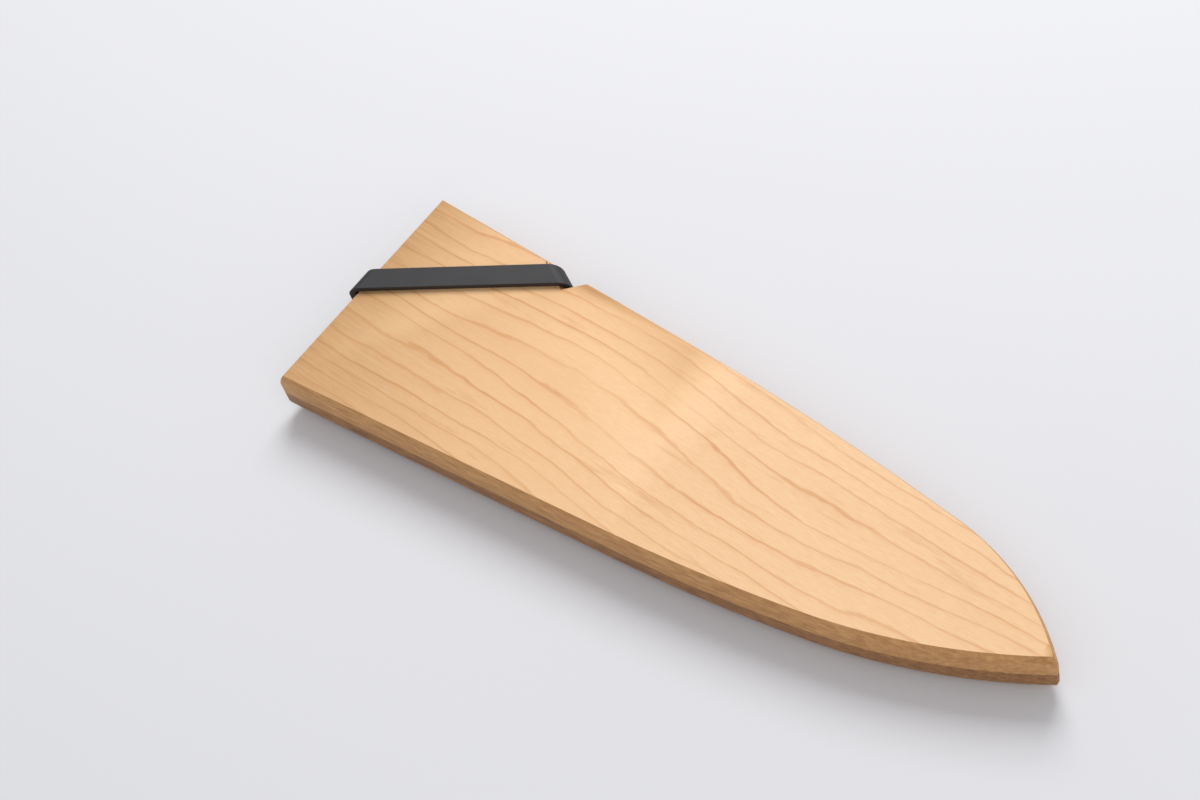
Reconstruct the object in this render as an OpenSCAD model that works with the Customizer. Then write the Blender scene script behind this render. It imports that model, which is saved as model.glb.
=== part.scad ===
// Blade guard: two wooden boards glued face to face round a milled slot, with
// disc magnets sunk in the slot's floors and an elastic band that hooks over a
// notch in the spine. Sizes are in millimetres.

/* [Boards] */
// Length from the mouth to the tip
guard_len = 244; // [225:1:275]
// Width across the mouth
mouth_w = 79.6; // [74:0.2:88]
// Thickness of each of the two boards
board_t = 7.5; // [6.5:0.25:12]
// Height of the tip above the mouth's cutting-edge corner
tip_y = 34.4; // [28:0.2:42]
// Length of the sharp point that is sanded off the tip
tip_blunt = 0.6; // [0.3:0.1:2]
// Width of the softened strip round each outer edge, seen from above
soft_w = 1.2; // [0.5:0.1:2]
// Height of the softened strip
soft_h = 3.2; // [1:0.1:4.5]
// Radius of the softened strip's bulge
soft_r = 7; // [4:0.5:20]

/* [Cutting-edge side] */
// Heading of this side at the tip, in degrees
edge_tip_deg = 30; // [24:0.5:36]
// Radius of the curve that runs into the tip
edge_nose_r = 184; // [140:2:220]
// Heading where the nose curve meets the long curve
edge_mid_deg = 8.8; // [6:0.2:14]
// Radius of the long curve
edge_long_r = 577; // [400:1:700]

/* [Spine side] */
// Fall of the spine at the tip, in degrees
spine_tip_deg = 48; // [42:0.5:54]
// Radius of the curve that runs into the tip
spine_nose_r = 77; // [60:1:90]
// Fall where the nose curve meets the long curve
spine_mid_deg = 10.4; // [8:0.2:14]
// Radius of the long curve
spine_long_r = 956; // [500:1:1300]

/* [Band notch] */
// Distance from the mouth to the start of the notch
notch_x = 47.6; // [40:0.2:60]
// Length of the notch wall that the band pulls on
seat_len = 12.6; // [11:0.1:18]
// Fall of that wall towards the tip, in degrees
seat_deg = 30; // [22:0.5:38]
// Rise of the notch's other wall, in degrees
notch_back_deg = 43; // [36:0.5:60]
// Width and height of the roundover under the band
seat_round = 2.4; // [1:0.1:3]
// Radius of the rounded corner after the notch
peak_r = 2.4; // [1:0.1:4]

/* [Blade slot] */
// Clear height of the slot
slot_t = 4.6; // [4.2:0.1:6]
// Wood left beside the slot along the cutting-edge side
slot_edge_wall = 8; // [5:0.5:14]
// Wood left beside the slot along the spine side
slot_spine_wall = 13.5; // [11:0.5:18]
// Depth of the slot from the mouth
slot_len = 215; // [190:1:218]

/* [Magnets] */
// Magnets in each board
magnet_count = 3; // [3]
// Diameter of a disc magnet
magnet_d = 8; // [5:0.5:10]
// Thickness of a disc magnet
magnet_t = 2.5; // [1:0.25:3]
// Distance from the mouth to the first magnet
magnet_first_x = 45; // [30:1:60]
// Distance from one magnet to the next
magnet_pitch = 70; // [40:1:75]
// Clearance round a magnet and over it, in its pocket
magnet_gap = 0.1; // [0.05:0.05:0.3]

/* [Retaining band] */
// Width of the band
band_w = 7.3; // [6:0.1:8]
// Thickness of the band
band_t = 1.5; // [1:0.1:2.5]
// Clearance between the band and the boards
band_gap = 0.3; // [0.2:0.05:0.5]
// Radius inside the band where it turns over the mouth
band_turn_r = 1.5; // [0.8:0.1:1.5]
// Space between the band and the bottom of the notch, along the wall
seat_margin = 0.9; // [0.6:0.1:2]

/* [Hidden] */
$fn = 96;
// Turn of the outline at each facet of its curves
facet_deg = 1.5;
// Facets across a softened edge, round the notch's far corner and over its wall
soft_facets = 5;
peak_facets = 6;
seat_facets = 8;
// Angle at which a roundover meets each face that it joins
graze_deg = 6;
// How far cuts run past what they cut
over = 5;
// Longer than any size of the guard
far = 400;

pale_maple = [0.93, 0.76, 0.56];
toned_maple = [0.78, 0.58, 0.36];
nickel = [0.78, 0.78, 0.8];
black_rubber = [0.09, 0.09, 0.1];

guard_t = 2 * board_t;
// Where the two long sides would meet
tip = [guard_len + tip_blunt, tip_y];
band_reach = band_gap + band_t;
// The band turns by the same angle at the mouth and at the notch wall
band_deg = (90 - seat_deg) / 2;

// Direction at an angle, and that direction turned a quarter turn left
function along(a) = [cos(a), sin(a)];
function left_of(a) = [-sin(a), cos(a)];

// One long side: two curves that meet at a common heading and end at the tip,
// and the straight from the mouth that touches the long curve. The side is 1
// where the wood lies left of a run towards the tip, and -1 where it lies right.
// Gives [heading of the straight, its end, where the curves meet, centre of the
// long curve, centre of the nose curve].
function side_path(start, side, tip_deg, nose_r, mid_deg, long_r) =
    let (nose_c = tip + side * nose_r * left_of(side * tip_deg),
         meet = nose_c - side * nose_r * left_of(side * mid_deg),
         long_c = meet + side * long_r * left_of(side * mid_deg),
         to_c = long_c - start,
         deg = atan2(to_c[1], to_c[0]) - side * asin(long_r / norm(to_c)))
    [deg, long_c - side * long_r * left_of(deg), meet, long_c, nose_c];

edge_start = [0, 0];
spine_start = [0, mouth_w];
edge_path = side_path(edge_start, 1, edge_tip_deg, edge_nose_r, edge_mid_deg, edge_long_r);
spine_path = side_path(spine_start, -1, spine_tip_deg, spine_nose_r, spine_mid_deg, spine_long_r);
spine_deg = spine_path[0];

// Corners of the notch: its start on the spine, its bottom and its far corner
notch_start = spine_start + notch_x / cos(spine_deg) * along(spine_deg);
notch_bottom = notch_start + seat_len * along(-seat_deg);
notch_depth = (notch_start - notch_bottom) * left_of(spine_deg);
notch_back_len = notch_depth / sin(notch_back_deg - spine_deg);
notch_peak = notch_bottom + notch_back_len * along(notch_back_deg);

// Middle of the band on the notch wall
band_seat = notch_bottom
    - (band_w / 2 / cos(band_deg) + seat_margin) * along(-seat_deg);

// Points along a curve, with about one facet to each facet_deg of its full turn
function arc(centre, r, from_deg, to_deg, turn) =
    let (n = ceil(turn / facet_deg))
    [for (k = [0 : n]) centre + r * along(from_deg + k * (to_deg - from_deg) / n)];

// Where the line through a point at a heading reaches a given x
function at_x(p, deg, x) = [x, p[1] + (x - p[0]) * tan(deg)];

// One long side as points from the mouth to the tip, moved in by edge_in, with
// its two ends moved in by end_in
function side_points(start, side, path, tip_deg, nose_r, mid_deg, long_r, edge_in, end_in) =
    let (to_end = (guard_len - end_in - path[4][0]) / (nose_r - edge_in))
    concat([at_x(start + side * edge_in * left_of(path[0]), path[0], end_in)],
           arc(path[3], long_r - edge_in, path[0] - side * 90, side * (mid_deg - 90),
               mid_deg - side * path[0]),
           arc(path[4], nose_r - edge_in, side * (mid_deg - 90 + facet_deg),
               -side * acos(to_end), tip_deg - mid_deg));

// The whole outline as points
function outline_points(edge_in, spine_in, end_in) =
    let (edge = side_points(edge_start, 1, edge_path, edge_tip_deg, edge_nose_r,
                            edge_mid_deg, edge_long_r, edge_in, end_in),
         spine = side_points(spine_start, -1, spine_path, spine_tip_deg, spine_nose_r,
                             spine_mid_deg, spine_long_r, spine_in, end_in))
    concat(edge, [for (i = [len(spine) - 1 : -1 : 0]) spine[i]]);

// What the notch takes out of the spine, with a rounded far corner
module notch_2d() {
    turn = notch_back_deg - spine_deg;
    before = notch_peak - peak_r * tan(turn / 2) * along(notch_back_deg);
    centre = before - peak_r * left_of(notch_back_deg);
    // The last facet of the corner runs on into the air
    last_deg = notch_back_deg - turn * (peak_facets - 1) / peak_facets;
    last = centre + peak_r * left_of(last_deg);
    polygon(concat([notch_start - over * along(-seat_deg), notch_bottom],
                   [for (k = [0 : peak_facets - 1])
                        centre + peak_r * left_of(notch_back_deg - k * turn / peak_facets)],
                   [last + over * along(last_deg), last + 2 * over * left_of(last_deg)]));
}

// Insets of the softened edge from the wall, with their depths under the face
soft_chord = norm([soft_w, soft_h]);
soft_rise = sqrt(soft_r * soft_r - soft_chord * soft_chord / 4);
soft_c = [-soft_w / 2, -soft_h / 2] - soft_rise / soft_chord * [soft_h, soft_w];
soft_from = atan2(-soft_h - soft_c[1], -soft_c[0]);
soft_to = atan2(-soft_c[1], -soft_w - soft_c[0]);
soft_steps = [for (k = [0 : soft_facets])
    soft_c + soft_r * along(soft_from + k * (soft_to - soft_from) / soft_facets)];

// Outlines one above the other, joined by facets, taller than the board both ways
module softened_stack() {
    last = soft_steps[soft_facets];
    slope = last - soft_steps[soft_facets - 1];
    beyond = last + slope / 2;
    levels = concat([[0, board_t - over]],
                    [for (s = concat(soft_steps, [beyond])) [-s[0], guard_t + s[1]]]);
    rings = [for (l = levels) [for (p = outline_points(l[0], l[0], l[0])) [p[0], p[1], l[1]]]];
    n = len(rings[0]);
    top = len(rings) - 1;
    points = [for (ring = rings) for (p = ring) p];
    walls = [for (j = [0 : top - 1]) for (i = [0 : n - 1])
        [j * n + i, (j + 1) * n + i, (j + 1) * n + (i + 1) % n, j * n + (i + 1) % n]];
    polyhedron(points, concat([[for (i = [0 : n - 1]) i]],
                              [[for (i = [n - 1 : -1 : 0]) top * n + i]], walls));
}

// The upper board before it is cut
module blank() {
    intersection() {
        softened_stack();
        translate([-over, -over, board_t]) cube([guard_len + 2 * over, mouth_w + 2 * over, board_t]);
    }
}

// Roundover on the notch wall under the band, up to the notch's other wall
module seat_rounding() {
    r = seat_round;
    back = along(notch_back_deg);
    intersection() {
        translate([notch_start[0], notch_start[1], guard_t]) rotate([0, 0, 90 - seat_deg])
            rotate([90, 0, 0]) translate([0, 0, -over]) linear_extrude(seat_len + 2 * over)
                polygon(concat([for (k = [0 : seat_facets]) [-r, -r] + r
                                    * along(90 - graze_deg - k * (90 - 2 * graze_deg) / seat_facets)],
                               [[over, -r - 1], [over, over], [-r - 1, over]]));
        linear_extrude(2 * guard_t) polygon([
            notch_bottom - 2 * over * back, notch_bottom + 4 * over * back,
            notch_start + 3 * over * back, notch_start - 3 * over * back]);
    }
}

// Half of the slot, open at the mouth
module slot_2d() {
    intersection() {
        polygon(outline_points(slot_edge_wall, slot_spine_wall, -over));
        translate([-over, 0]) square([over + slot_len, mouth_w]);
    }
}

// Middle of a magnet, on the line from the middle of the mouth to the tip
function magnet_at(i) =
    let (x = magnet_first_x + i * magnet_pitch)
    [x, mouth_w / 2 + (tip_y - mouth_w / 2) * x / guard_len];

// Depth of a magnet's pocket under the slot's floor
pocket_t = magnet_t + magnet_gap;
slot_floor = board_t + slot_t / 2;

// The upper board; the lower one is its mirror image
module board() {
    difference() {
        blank();
        translate([0, 0, board_t - over]) linear_extrude(board_t + 2 * over) notch_2d();
        seat_rounding();
        translate([0, 0, board_t - 1]) linear_extrude(slot_t / 2 + 1) slot_2d();
        for (i = [0 : magnet_count - 1])
            translate([magnet_at(i)[0], magnet_at(i)[1], board_t])
                cylinder(h = slot_t / 2 + pocket_t, d = magnet_d + 2 * magnet_gap);
    }
}

module disc_magnet(i) {
    color(nickel)
        translate([magnet_at(i)[0], magnet_at(i)[1], slot_floor + magnet_gap])
            cylinder(h = magnet_t, d = magnet_d);
}

// Turns a piece of the upper board into the same piece of the lower board
module mirrored_down() {
    translate([0, 0, guard_t]) mirror([0, 0, 1]) children();
}

// Section of the space inside a loop round a plate's edge at the origin: the
// plate runs towards negative u, and the loop stays off by a given width
module loop_section(off, r) {
    deep = guard_t + 2 * off;
    difference() {
        translate([off - far, -off]) square([far, deep]);
        for (flip = [0, 1])
            translate([off, flip ? guard_t + off : -off]) mirror([0, flip])
                difference() {
                    translate([-r, -1]) square([r + 1, r + 1]);
                    translate([-r, r]) circle(r);
                }
    }
}

// Solid round the plate between the mouth and the notch wall
module loop_space(off, mouth_r, seat_r) {
    intersection() {
        rotate([0, 0, 180]) rotate([90, 0, 0])
            translate([0, 0, -far / 2]) linear_extrude(far) loop_section(off, mouth_r);
        translate([notch_bottom[0], notch_bottom[1], 0]) rotate([0, 0, 90 - seat_deg])
            rotate([90, 0, 0]) translate([0, 0, -far / 2]) linear_extrude(far)
                loop_section(off, seat_r);
    }
}

module loop_band() {
    turn = band_turn_r;
    seat_turn = seat_round + band_gap;
    difference() {
        intersection() {
            loop_space(band_reach, turn + band_t, seat_turn + band_t);
            translate([band_seat[0], band_seat[1], -far / 4]) rotate([0, 0, band_deg])
                translate([-far / 2, -band_w / 2, 0]) cube([far, band_w, far / 2]);
        }
        loop_space(band_gap, turn, seat_turn);
    }
}

// The model's origin is the middle of what it covers on the surface it lies on
module placed() {
    translate([-(guard_len - band_reach) / 2, -mouth_w / 2, band_reach]) children();
}

module lower_board() {
    color(toned_maple) placed() mirrored_down() board();
}

module upper_board() {
    color(pale_maple) placed() board();
}

module magnet(n) {
    placed() {
        if (n < magnet_count) mirrored_down() disc_magnet(n);
        else disc_magnet(n - magnet_count);
    }
}

module retaining_band() {
    color(black_rubber) placed() loop_band();
}

lower_board();
upper_board();
for (n = [0 : 2 * magnet_count - 1])
    magnet(n);
retaining_band();
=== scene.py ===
# %% [markdown]
# A wooden blade guard: two boards glued round a milled slot, six disc magnets and
# a rubber band. The solids come ready-made as a fixed frame, so this lesson gives
# them smooth edges, finishes, light and a camera.

# %% Load the frame
import math

import bmesh
import bpy
from mathutils import Matrix, Vector


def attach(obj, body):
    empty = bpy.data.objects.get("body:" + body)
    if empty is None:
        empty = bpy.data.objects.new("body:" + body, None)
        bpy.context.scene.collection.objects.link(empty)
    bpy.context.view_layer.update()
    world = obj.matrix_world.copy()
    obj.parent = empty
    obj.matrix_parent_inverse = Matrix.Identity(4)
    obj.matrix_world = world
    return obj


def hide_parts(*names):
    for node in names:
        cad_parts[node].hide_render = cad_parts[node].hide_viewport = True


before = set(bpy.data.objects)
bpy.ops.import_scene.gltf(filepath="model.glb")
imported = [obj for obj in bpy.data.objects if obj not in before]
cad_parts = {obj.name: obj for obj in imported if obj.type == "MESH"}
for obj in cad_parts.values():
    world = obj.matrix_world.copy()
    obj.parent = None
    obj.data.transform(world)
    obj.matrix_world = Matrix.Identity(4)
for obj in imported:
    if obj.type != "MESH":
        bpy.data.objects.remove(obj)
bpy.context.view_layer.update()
MM = 0.001
print("nodes:", sorted(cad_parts))

# %% [markdown]
# Every material is a small node tree. One function adds a node with its settings
# and links, and one function turns sRGB hex values into the linear colours that
# the shader works in.

# %% Helpers for materials
def linear(hex_code):
    """Linear RGBA of an sRGB hex value such as "#EBC097"."""
    channels = [int(hex_code[i:i + 2], 16) / 255 for i in (1, 3, 5)]
    return [c / 12.92 if c <= 0.04045 else ((c + 0.055) / 1.055) ** 2.4 for c in channels] + [1.0]


def add(tree, kind, settings=None, **inputs):
    """Adds a node; an input is a value, or the socket that feeds it."""
    node = tree.nodes.new("ShaderNode" + kind)
    for name, value in (settings or {}).items():
        setattr(node, name, value)
    for name, value in inputs.items():
        key = int(name[1:]) if name[0] == "i" and name[1:].isdigit() else name.replace("_", " ")
        socket = node.inputs[key]
        if isinstance(value, bpy.types.NodeSocket):
            tree.links.new(value, socket)
        else:
            socket.default_value = value
    return node


def math_node(tree, operation, *values, clamp=False):
    """Output of a Math node."""
    inputs = {f"i{i}": value for i, value in enumerate(values)}
    return add(tree, "Math", {"operation": operation, "use_clamp": clamp}, **inputs).outputs[0]


def new_material(name):
    """A material with an empty tree, and its principled shader."""
    material = bpy.data.materials.new(name)
    material.use_nodes = True
    tree = material.node_tree
    tree.nodes.clear()
    shader = add(tree, "BsdfPrincipled")
    output = add(tree, "OutputMaterial")
    tree.links.new(shader.outputs["BSDF"], output.inputs["Surface"])
    return material, tree, shader


def mix_colour(tree, factor, first, second):
    """Colour between two colours, each a hex value or a socket."""
    node = add(tree, "Mix", {"data_type": "RGBA"}, i0=factor)
    for index, colour in ((6, first), (7, second)):
        if isinstance(colour, str):
            node.inputs[index].default_value = linear(colour)
        else:
            tree.links.new(colour, node.inputs[index])
    return node.outputs[2]


# %% [markdown]
# The boards are plain-sawn maple, planed, sanded and lightly oiled. Growth rings
# that the saw cuts at a shallow angle show as thin brown lines that wander along
# the board, closer together in the middle. The lines here are the level lines of
# one height field: a slope across the grain plus slow noise that is stretched
# along it. The rings' spacing is about 5 mm, and a line is about 0.5 mm wide.

# %% Maple
GRAIN_DEG = -5.0        # heading of the grain in the board
RING_MM = 5.2           # from one ring to the next
RING_SLANT = 2.2        # how much slower the rings pass through the thickness
WANDER_MM = 13.0        # how far a ring strays sideways
RIPPLE = 0.75           # small waves in a ring, as a share of the spacing
PORE_MM = 0.45          # width of the fine flecks, drawn coarser than real so that they show


def grain_noise(tree, along_mm, across_mm, detail=2.0, roughness=0.5, shift=0.0, source=None):
    """Noise on the board's own coordinates, stretched along the grain."""
    mapping = add(tree, "Mapping", Vector=source,
                  Location=(shift, 0.37 * shift, 0.0),
                  Scale=(1 / (along_mm * MM), 1 / (across_mm * MM), 1 / (across_mm * MM)))
    return add(tree, "TexNoise", Vector=mapping.outputs[0], Scale=1.0, Detail=detail,
               Roughness=roughness).outputs["Fac"]


def ring_phase(tree, turned, shift):
    """Place between one ring and the next, from 0 to 1, of each point of the board."""
    place = add(tree, "SeparateXYZ", Vector=turned)
    lateral = math_node(tree, "DIVIDE", place.outputs["Y"], RING_MM * MM)
    tilt = math_node(tree, "DIVIDE", place.outputs["Z"], RING_SLANT * RING_MM * MM)
    wide = grain_noise(tree, 150.0, 34.0, 1.0, 0.4, 3.1 + shift, turned)
    small = grain_noise(tree, 26.0, 7.0, 3.0, 0.55, 8.7 + shift, turned)
    strayed = math_node(tree, "MULTIPLY_ADD", wide, 2 * WANDER_MM / RING_MM, lateral)
    strayed = math_node(tree, "MULTIPLY_ADD", small, RIPPLE, strayed)
    return math_node(tree, "FRACT", math_node(tree, "ADD", strayed, tilt))


def ring_lines(tree, turned, shift):
    """Late wood darkens slowly, then ends in a thin line; some lines are faint."""
    line = add(tree, "ValToRGB", Fac=ring_phase(tree, turned, shift))
    ramp = line.color_ramp
    ends = zip(ramp.elements, ((0.0, 0.25), (1.0, 0.75)))
    for element, (position, level) in ends:
        element.position = position
        element.color = (level, level, level, 1.0)
    for position, level in ((0.05, 0.0), (0.62, 0.05), (0.86, 0.22), (0.93, 1.0)):
        ramp.elements.new(position).color = (level, level, level, 1.0)
    weight = grain_noise(tree, 60.0, 10.0, 2.0, 0.5, 14.0 + shift, turned)
    weight = add(tree, "MapRange", Value=weight, From_Min=0.3, From_Max=0.7,
                 To_Min=0.25, To_Max=0.95).outputs[0]
    return math_node(tree, "MULTIPLY", line.outputs[0], weight)


def face_colour(tree, turned, shift, ring, fleck):
    """The sawn face: cloudy cream wood, rings, flames where the saw grazed one, flecks."""
    flame = grain_noise(tree, 34.0, 3.6, 3.0, 0.6, 21.0 + shift, turned)
    flame = add(tree, "MapRange", Value=flame, From_Min=0.62, From_Max=0.76,
                To_Min=0.0, To_Max=0.55).outputs[0]
    cloud = grain_noise(tree, 90.0, 22.0, 2.0, 0.5, 33.0 + shift, turned)
    face = mix_colour(tree, cloud, "#F0C796", "#E9BA88")
    face = mix_colour(tree, math_node(tree, "MULTIPLY", ring, 0.85), face, "#CF8E54")
    face = mix_colour(tree, flame, face, "#D39A62")
    speckle = add(tree, "MapRange", Value=fleck, From_Min=0.3, From_Max=0.7,
                  To_Min=0.0, To_Max=0.16).outputs[0]
    return mix_colour(tree, speckle, face, "#C98F58")


def shaded_side_colour(tree, turned, shift, light, dark):
    """The sawn side: darker than the face, partly its own tone and partly painted shade where it
    faces away from the light, with short streaks along the grain.
    """
    streak = grain_noise(tree, 16.0, 1.1, 4.0, 0.65, 2.0 + shift, turned)
    streak = add(tree, "MapRange", Value=streak, From_Min=0.3, From_Max=0.7).outputs[0]
    return mix_colour(tree, streak, light, dark)


def maple(name, shift, side_light, side_dark):
    """Maple whose figure is moved along by a shift, so that no two boards match."""
    material, tree, shader = new_material(name)
    place = add(tree, "TexCoord")
    turned = add(tree, "Mapping", Vector=place.outputs["Object"],
                 Rotation=(0.0, 0.0, -math.radians(GRAIN_DEG))).outputs[0]
    ring = ring_lines(tree, turned, shift)
    fleck = grain_noise(tree, 7 * PORE_MM, PORE_MM, 2.0, 0.6, 5.0 + shift, turned)
    face = face_colour(tree, turned, shift, ring, fleck)
    side = shaded_side_colour(tree, turned, shift, side_light, side_dark)
    # The face colour goes on surfaces facing up or down and the side colour on the rest, so the
    # darker sides carry painted shade.
    normal = add(tree, "SeparateXYZ", Vector=place.outputs["Normal"])
    upright = math_node(tree, "ABSOLUTE", normal.outputs["Z"])
    is_face = add(tree, "MapRange", Value=upright, From_Min=0.72, From_Max=0.97).outputs[0]
    tree.links.new(mix_colour(tree, is_face, side, face), shader.inputs["Base Color"])
    rough = add(tree, "MapRange", Value=fleck, To_Min=0.42, To_Max=0.6).outputs[0]
    tree.links.new(rough, shader.inputs["Roughness"])
    shader.inputs["IOR"].default_value = 1.5
    grain = math_node(tree, "MULTIPLY_ADD", ring, -0.5, fleck)
    bump = add(tree, "Bump", Height=grain, Strength=0.35, Distance=0.12 * MM)
    tree.links.new(bump.outputs[0], shader.inputs["Normal"])
    print(name, "has", len(tree.nodes), "nodes")
    return material


# Side colours: the lower board's are darker than the upper's, partly its own grain tone and
# partly painted shade for a side that faces slightly downward.
upper_maple = maple("oiled_maple_upper", 0.0, "#D9A468", "#B07A42")
shaded_lower_maple = maple("oiled_maple_lower", 40.0, "#B27E48", "#7C4F2A")

# %% [markdown]
# The band is black rubber with a matte skin. Its mould leaves a faint grain, and
# handling leaves slightly glossier patches. The magnets are nickel plated, which
# is a metal with a light haze. Both finishes are noise in roughness and colour.

# %% Rubber and nickel
def matte_rubber():
    """Near-black rubber, whose skin scatters most of what it reflects."""
    material, tree, shader = new_material("matte_black_rubber")
    place = add(tree, "TexCoord").outputs["Object"]
    skin = add(tree, "TexNoise", Vector=place, Scale=1 / (0.5 * MM), Detail=3.0).outputs["Fac"]
    patch = add(tree, "TexNoise", Vector=place, Scale=1 / (9 * MM), Detail=2.0).outputs["Fac"]
    tree.links.new(mix_colour(tree, patch, "#1B1B1D", "#2A2A2C"), shader.inputs["Base Color"])
    rough = add(tree, "MapRange", Value=patch, To_Min=0.5, To_Max=0.72).outputs[0]
    tree.links.new(rough, shader.inputs["Roughness"])
    shader.inputs["IOR"].default_value = 1.52
    bump = add(tree, "Bump", Height=skin, Strength=0.2, Distance=0.05 * MM)
    tree.links.new(bump.outputs[0], shader.inputs["Normal"])
    return material


def nickel_plate():
    """Neodymium discs are nickel plated: a warm grey mirror, slightly hazed."""
    material, tree, shader = new_material("nickel_plate")
    place = add(tree, "TexCoord").outputs["Object"]
    haze = add(tree, "TexNoise", Vector=place, Scale=1 / (1.5 * MM), Detail=3.0).outputs["Fac"]
    tree.links.new(mix_colour(tree, haze, "#BDB9B2", "#D2CEC6"), shader.inputs["Base Color"])
    shader.inputs["Metallic"].default_value = 1.0
    rough = add(tree, "MapRange", Value=haze, To_Min=0.18, To_Max=0.34).outputs[0]
    tree.links.new(rough, shader.inputs["Roughness"])
    return material


rubber = matte_rubber()
nickel = nickel_plate()
print("made", rubber.name, "and", nickel.name)

# %% [markdown]
# The solids' meshes are loose triangles, which shade as flat facets. A copy of
# each mesh is merged by distance, and its faces are shaded smooth except across
# creases, so the curves look sawn and sanded in one sweep. The copy stands for
# the node, and nothing changes its shape.

# %% Smooth copies of the nodes
CREASE_DEG = 24.0
FLAT_DEG = 0.2          # faces closer than this are one flat face
MERGE_M = 1e-6
MAGNETS = 6


def smooth_copy(node, name, body, material):
    """A smooth-shaded copy of a node, which rides on a body in its place."""
    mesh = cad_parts[node].data.copy()
    mesh.name = name
    mesh.materials.clear()
    mesh.materials.append(material)
    form = bmesh.new()
    form.from_mesh(mesh)
    bmesh.ops.remove_doubles(form, verts=form.verts, dist=MERGE_M)
    bmesh.ops.dissolve_limit(form, angle_limit=math.radians(FLAT_DEG), verts=form.verts,
                             edges=form.edges)
    bmesh.ops.triangulate(form, faces=form.faces)
    for face in form.faces:
        face.material_index = 0
        face.smooth = True
    form.to_mesh(mesh)
    form.free()
    mesh.set_sharp_from_angle(angle=math.radians(CREASE_DEG))
    piece = bpy.data.objects.new(name, mesh)
    bpy.context.scene.collection.objects.link(piece)
    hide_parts(node)
    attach(piece, body)
    print(name, "has", len(mesh.polygons), "faces")
    return piece


smooth_copy("upper_board", "maple_upper_board", "guard", upper_maple)
smooth_copy("lower_board", "maple_lower_board", "guard", shaded_lower_maple)
smooth_copy("retaining_band", "rubber_band", "band", rubber)
for number in range(1, MAGNETS + 1):
    smooth_copy(f"magnet_{number}", f"disc_magnet_{number}", "guard", nickel)

# %% [markdown]
# The guard lies on a pale floor. A large soft lamp stands on the spine's side, a
# wider and weaker one on the side of the cutting edge, and a pale world fills the
# shadows.

# %% Floor, lights and world
FLOOR_M = 6.0
floor_mesh = bpy.data.meshes.new("floor")
form = bmesh.new()
bmesh.ops.create_grid(form, x_segments=1, y_segments=1, size=FLOOR_M / 2)
form.to_mesh(floor_mesh)
form.free()
floor = bpy.data.objects.new("floor", floor_mesh)
bpy.context.scene.collection.objects.link(floor)
paper, paper_tree, paper_shader = new_material("pale_paper")
paper_shader.inputs["Base Color"].default_value = linear("#DEDEE1")
paper_shader.inputs["Roughness"].default_value = 0.9
floor_mesh.materials.append(paper)


def soft_lamp(name, size_m, power_w, place_m):
    lamp = bpy.data.lights.new(name, "AREA")
    lamp.size = size_m
    lamp.energy = power_w
    lamp_object = bpy.data.objects.new(name, lamp)
    lamp_object.location = place_m
    lamp_object.rotation_euler = (-Vector(place_m)).to_track_quat("-Z", "Y").to_euler()
    bpy.context.scene.collection.objects.link(lamp_object)


soft_lamp("key_lamp", 0.7, 11.0, (-0.35, 0.75, 0.95))
soft_lamp("fill_lamp", 1.2, 4.0, (0.9, -0.5, 1.1))
world = bpy.data.worlds.new("studio")
bpy.context.scene.world = world
world.use_nodes = True
background = world.node_tree.nodes["Background"]
background.inputs["Color"].default_value = linear("#F4F5F8")
background.inputs["Strength"].default_value = 0.55
print("floor", FLOOR_M, "m wide, with", len(bpy.data.lights), "lamps")

# %% [markdown]
# The camera's place was worked out from the guard's corners and edges in the
# photograph. It looks down on the guard from beyond the cutting edge, near the
# tip, and it is rolled.

# %% Camera
AZIMUTH_DEG = 52.23
ELEVATION_DEG = 52.44
ROLL_DEG = 18.78
LENS_MM = 66.0
SENSOR_MM = 36.0
IMAGE_W_PX = 1200
# Scale at the point that the camera looks at
PX_PER_MM = 3.4
DISTANCE_MM = LENS_MM / SENSOR_MM * IMAGE_W_PX / PX_PER_MM
# That point lies on the plane of the lower board's underside
LOOK_AT_MM = Vector((-38.3, 8.7, 1.8))

azimuth, elevation, roll = (math.radians(a) for a in (AZIMUTH_DEG, ELEVATION_DEG, ROLL_DEG))
back = Vector((math.sin(azimuth) * math.cos(elevation),
               -math.cos(azimuth) * math.cos(elevation), math.sin(elevation)))
level_right = Vector((math.cos(azimuth), math.sin(azimuth), 0.0))
level_up = back.cross(level_right)
right = math.cos(roll) * level_right - math.sin(roll) * level_up
up = math.cos(roll) * level_up + math.sin(roll) * level_right
camera = bpy.data.objects.new("camera", bpy.data.cameras.new("camera"))
camera.data.lens = LENS_MM
camera.data.sensor_width = SENSOR_MM
turn = Matrix((right, up, back)).transposed().to_4x4()
camera.matrix_world = Matrix.Translation((LOOK_AT_MM + DISTANCE_MM * back) * MM) @ turn
bpy.context.scene.collection.objects.link(camera)
bpy.context.scene.camera = camera
bpy.context.scene.view_settings.view_transform = "Standard"
print("camera", round(DISTANCE_MM), "mm away")
